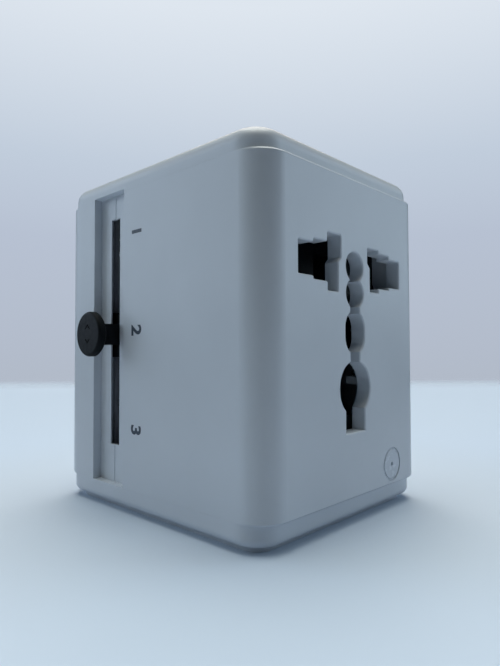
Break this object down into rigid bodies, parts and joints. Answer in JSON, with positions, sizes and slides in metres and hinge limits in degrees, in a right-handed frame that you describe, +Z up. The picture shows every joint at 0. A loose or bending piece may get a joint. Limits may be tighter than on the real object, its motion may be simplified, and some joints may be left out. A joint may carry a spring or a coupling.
{
  "type": "multi socket adapter",
  "caption": "Box-shaped travel adapter on its end: universal socket on one face, slide-out pin sets on the opposite face, round selector knob in a recessed slit at the side.",
  "frame": {"origin": "centre of the flat end face that the adapter stands on", "axes": "+Z up, along the long side; -Y out of the universal socket face; +Y out of the plug face; -X out of the side with the selector knob"},
  "size_m": [0.0531, 0.058, 0.065],
  "materials": {
    "white_shell": "satin moulded",
    "black_plastic": "satin moulded",
    "dark_plastic": "matt moulded",
    "grey_plastic": "matt moulded",
    "lens_plastic": "satin",
    "lamp_plastic": "gloss",
    "board_laminate": "matt",
    "contact_brass": "bright",
    "pin_nickel": "bright nickel plate",
    "spring_steel": "bright",
    "fuse_glass": "clear"
  },
  "bodies": {
    "housing": {"front_shell": "white_shell", "rear_shell": "white_shell", "top_cap": "white_shell", "bottom_cap": "white_shell", "inner_chassis": "grey_plastic", "chassis_screws": "spring_steel", "contact_holder": "dark_plastic", "live_socket_contact": "contact_brass", "neutral_socket_contact": "contact_brass", "live_bus_bar": "contact_brass", "neutral_bus_bar": "contact_brass", "fuse_holder": "dark_plastic", "fuse_cap": "black_plastic", "fuse_link": "fuse_glass", "fuse_ends": "pin_nickel", "indicator_lens": "lens_plastic", "indicator_lamp": "lamp_plastic", "lamp_board": "board_laminate", "detent_strip": "spring_steel", "live_shutter_spring": "spring_steel", "neutral_shutter_spring": "spring_steel"},
    "selector": {"slide_knob": "black_plastic", "selector_slide": "black_plastic", "detent_leaf": "spring_steel"},
    "live_shutter": {"live_shutter": "black_plastic"},
    "neutral_shutter": {"neutral_shutter": "black_plastic"},
    "uk_set": {"uk_carriage": "black_plastic", "uk_live_pin": "pin_nickel", "uk_neutral_pin": "pin_nickel", "uk_earth_pin": "pin_nickel", "uk_pin_sleeves": "black_plastic", "uk_wipers": "contact_brass"},
    "eu_set": {"eu_carriage": "black_plastic", "eu_pins": "pin_nickel", "eu_pin_sleeves": "black_plastic", "eu_wipers": "contact_brass"},
    "us_set": {"us_carriage": "black_plastic", "us_wipers": "contact_brass"},
    "us_left_turner": {"us_left_rotor": "black_plastic", "us_left_blade": "pin_nickel"},
    "us_right_turner": {"us_right_rotor": "black_plastic", "us_right_blade": "pin_nickel"}
  },
  "joints": [
    {"name": "knob_slide", "type": "slide", "parent": "housing", "child": "selector", "axis": [0, 0, 1], "range_m": [-0.0195, 0.0195]},
    {"name": "uk_slide", "type": "slide", "parent": "housing", "child": "uk_set", "axis": [0, 1, 0], "range_m": [0, 0.0192]},
    {"name": "eu_slide", "type": "slide", "parent": "housing", "child": "eu_set", "axis": [0, 1, 0], "range_m": [0, 0.0192]},
    {"name": "us_slide", "type": "slide", "parent": "housing", "child": "us_set", "axis": [0, 1, 0], "range_m": [0, 0.0192]},
    {"name": "us_left_turn", "type": "hinge", "parent": "us_set", "child": "us_left_turner", "pos_m": [-0.00635, 0.0071, 0.0125], "axis": [0, 1, 0], "range_deg": [0, 30]},
    {"name": "us_right_turn", "type": "hinge", "parent": "us_set", "child": "us_right_turner", "pos_m": [0.00635, 0.0071, 0.0125], "axis": [0, -1, 0], "range_deg": [0, 30]},
    {"name": "live_shutter_slide", "type": "slide", "parent": "housing", "child": "live_shutter", "axis": [0, 0, -1], "range_m": [0, 0.011], "stiffness_N_per_m": 40, "springref_m": -0.005, "deforming": ["live_shutter_spring"]},
    {"name": "neutral_shutter_slide", "type": "slide", "parent": "housing", "child": "neutral_shutter", "axis": [0, 0, -1], "range_m": [0, 0.011], "stiffness_N_per_m": 40, "springref_m": -0.005, "deforming": ["neutral_shutter_spring"]}
  ]
}
